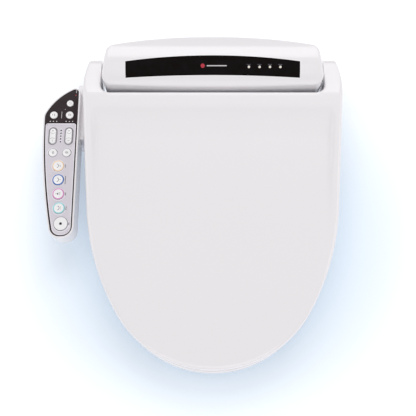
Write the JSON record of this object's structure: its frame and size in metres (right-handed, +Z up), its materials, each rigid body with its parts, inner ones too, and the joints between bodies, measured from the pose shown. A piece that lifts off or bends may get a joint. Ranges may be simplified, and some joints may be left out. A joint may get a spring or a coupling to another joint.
{
  "type": "electric bidet seat",
  "caption": "Heated bidet toilet seat with a hinged lid, a rear water and dryer housing, extending wash nozzles and a side arm of push keys.",
  "frame": {"origin": "on the toilet bowl's rim, halfway between the two fixing holes, which is the underside of the mounting plate", "axes": "+X to the right of someone facing the bowl from the front (the control arm is on -X), +Y to the rear, +Z up"},
  "size_m": [0.4627, 0.4948, 0.1326],
  "materials": {
    "white_shell": "glossy",
    "black_window": "glossy",
    "board_green": "matte",
    "led_cream": "glossy",
    "inner_plastic": "matte",
    "heater_steel": "brushed",
    "chrome_fitting": "polished",
    "nozzle_white": "glossy",
    "motor_steel": "satin",
    "damper_grey": "matte",
    "shaft_steel": "brushed",
    "screw_steel": "brushed",
    "plate_white": "matte",
    "rubber_grey": "matte",
    "release_grey": "matte",
    "face_dark": "satin",
    "panel_lavender": "satin",
    "heater_film": "matte",
    "key_white": "satin"
  },
  "bodies": {
    "housing": {"base_tray": "white_shell", "top_cover": "white_shell", "display_window": "black_window", "display_board": "board_green", "display_leds": "led_cream", "main_board": "board_green", "water_tank": "inner_plastic", "tank_lid": "inner_plastic", "tank_heater": "heater_steel", "inlet_fitting": "chrome_fitting", "inlet_valve": "inner_plastic", "nozzle_guide": "inner_plastic", "nozzle_motors": "motor_steel", "blower_housing": "inner_plastic", "blower_motor": "motor_steel", "dryer_duct": "inner_plastic", "seat_damper": "damper_grey", "lid_damper": "damper_grey", "cord_gland": "rubber_grey", "mounting_plate": "plate_white", "base_feet": "rubber_grey", "cover_screws": "screw_steel", "arm_lower_case": "white_shell", "arm_upper_case": "white_shell", "arm_faceplate": "face_dark", "arm_panel": "panel_lavender", "arm_board": "board_green", "arm_leds": "led_cream", "arm_screws": "screw_steel"},
    "seat": {"seat_top": "white_shell", "seat_bottom": "white_shell", "seat_heater": "heater_film", "seat_bumpers": "rubber_grey", "seat_screws": "screw_steel", "seat_hinge_shaft": "shaft_steel"},
    "lid": {"lid_shell": "white_shell", "lid_bumpers": "rubber_grey", "lid_hinge_shaft": "shaft_steel"},
    "rear_nozzle": {"wash_nozzle": "nozzle_white"},
    "front_nozzle": {"feminine_nozzle": "nozzle_white"},
    "impeller": {"blower_impeller": "inner_plastic"},
    "flap": {"dryer_flap": "inner_plastic"},
    "release": {"release_button": "release_grey"},
    "key_power_body": {"key_power": "key_white"},
    "key_seat_heat_body": {"key_seat_heat": "key_white"},
    "key_water_heat_body": {"key_water_heat": "key_white"},
    "key_pulse_body": {"key_pulse": "key_white"},
    "key_massage_body": {"key_massage": "key_white"},
    "key_rear_wash_body": {"key_rear_wash": "key_white"},
    "key_front_wash_body": {"key_front_wash": "key_white"},
    "key_child_wash_body": {"key_child_wash": "key_white"},
    "key_dryer_body": {"key_dryer": "key_white"},
    "key_stop_body": {"key_stop": "key_white"},
    "rocker_pressure_body": {"rocker_pressure": "key_white"},
    "rocker_position_body": {"rocker_position": "key_white"}
  },
  "joints": [
    {"name": "seat_hinge", "type": "hinge", "parent": "housing", "child": "seat", "pos_m": [0, 0, 0.088], "axis": [1, 0, 0], "range_deg": [-105, 0]},
    {"name": "lid_hinge", "type": "hinge", "parent": "seat", "child": "lid", "pos_m": [0, 0, 0.088], "axis": [-1, 0, 0], "range_deg": [0, 108]},
    {"name": "rear_nozzle_slide", "type": "slide", "parent": "housing", "child": "rear_nozzle", "axis": [0, -0.9781, -0.2079], "range_m": [0, 0.085]},
    {"name": "front_nozzle_slide", "type": "slide", "parent": "housing", "child": "front_nozzle", "axis": [0, -0.9781, -0.2079], "range_m": [0, 0.085]},
    {"name": "impeller_spin", "type": "hinge", "parent": "housing", "child": "impeller", "pos_m": [0.062, -0.006, 0.055], "axis": [0, 0, 1], "continuous": true},
    {"name": "dryer_flap_hinge", "type": "hinge", "parent": "housing", "child": "flap", "pos_m": [0.062, -0.0645, 0.026], "axis": [-1, 0, 0], "range_deg": [0, 60]},
    {"name": "release_press", "type": "slide", "parent": "housing", "child": "release", "axis": [-1, 0, 0], "range_m": [0, 0.003], "stiffness_N_per_m": 400},
    {"name": "key_power_press", "type": "slide", "parent": "housing", "child": "key_power_body", "axis": [0, 0, -1], "range_m": [0, 0.0008], "stiffness_N_per_m": 900},
    {"name": "key_seat_heat_press", "type": "slide", "parent": "housing", "child": "key_seat_heat_body", "axis": [0, 0, -1], "range_m": [0, 0.0008], "stiffness_N_per_m": 900},
    {"name": "key_water_heat_press", "type": "slide", "parent": "housing", "child": "key_water_heat_body", "axis": [0, 0, -1], "range_m": [0, 0.0008], "stiffness_N_per_m": 900},
    {"name": "key_pulse_press", "type": "slide", "parent": "housing", "child": "key_pulse_body", "axis": [0, 0, -1], "range_m": [0, 0.0008], "stiffness_N_per_m": 900},
    {"name": "key_massage_press", "type": "slide", "parent": "housing", "child": "key_massage_body", "axis": [0, 0, -1], "range_m": [0, 0.0008], "stiffness_N_per_m": 900},
    {"name": "key_rear_wash_press", "type": "slide", "parent": "housing", "child": "key_rear_wash_body", "axis": [0, 0, -1], "range_m": [0, 0.0008], "stiffness_N_per_m": 900},
    {"name": "key_front_wash_press", "type": "slide", "parent": "housing", "child": "key_front_wash_body", "axis": [0, 0, -1], "range_m": [0, 0.0008], "stiffness_N_per_m": 900},
    {"name": "key_child_wash_press", "type": "slide", "parent": "housing", "child": "key_child_wash_body", "axis": [0, 0, -1], "range_m": [0, 0.0008], "stiffness_N_per_m": 900},
    {"name": "key_dryer_press", "type": "slide", "parent": "housing", "child": "key_dryer_body", "axis": [0, 0, -1], "range_m": [0, 0.0008], "stiffness_N_per_m": 900},
    {"name": "key_stop_press", "type": "slide", "parent": "housing", "child": "key_stop_body", "axis": [0, 0, -1], "range_m": [0, 0.0008], "stiffness_N_per_m": 900},
    {"name": "rocker_pressure_tilt", "type": "hinge", "parent": "housing", "child": "rocker_pressure_body", "pos_m": [-0.247, -0.1072, 0.0646], "axis": [1, 0, 0], "range_deg": [-3, 3], "stiffness_Nm_per_rad": 0.25},
    {"name": "rocker_position_tilt", "type": "hinge", "parent": "housing", "child": "rocker_position_body", "pos_m": [-0.2221, -0.1072, 0.0646], "axis": [1, 0, 0], "range_deg": [-3, 3], "stiffness_Nm_per_rad": 0.25}
  ]
}
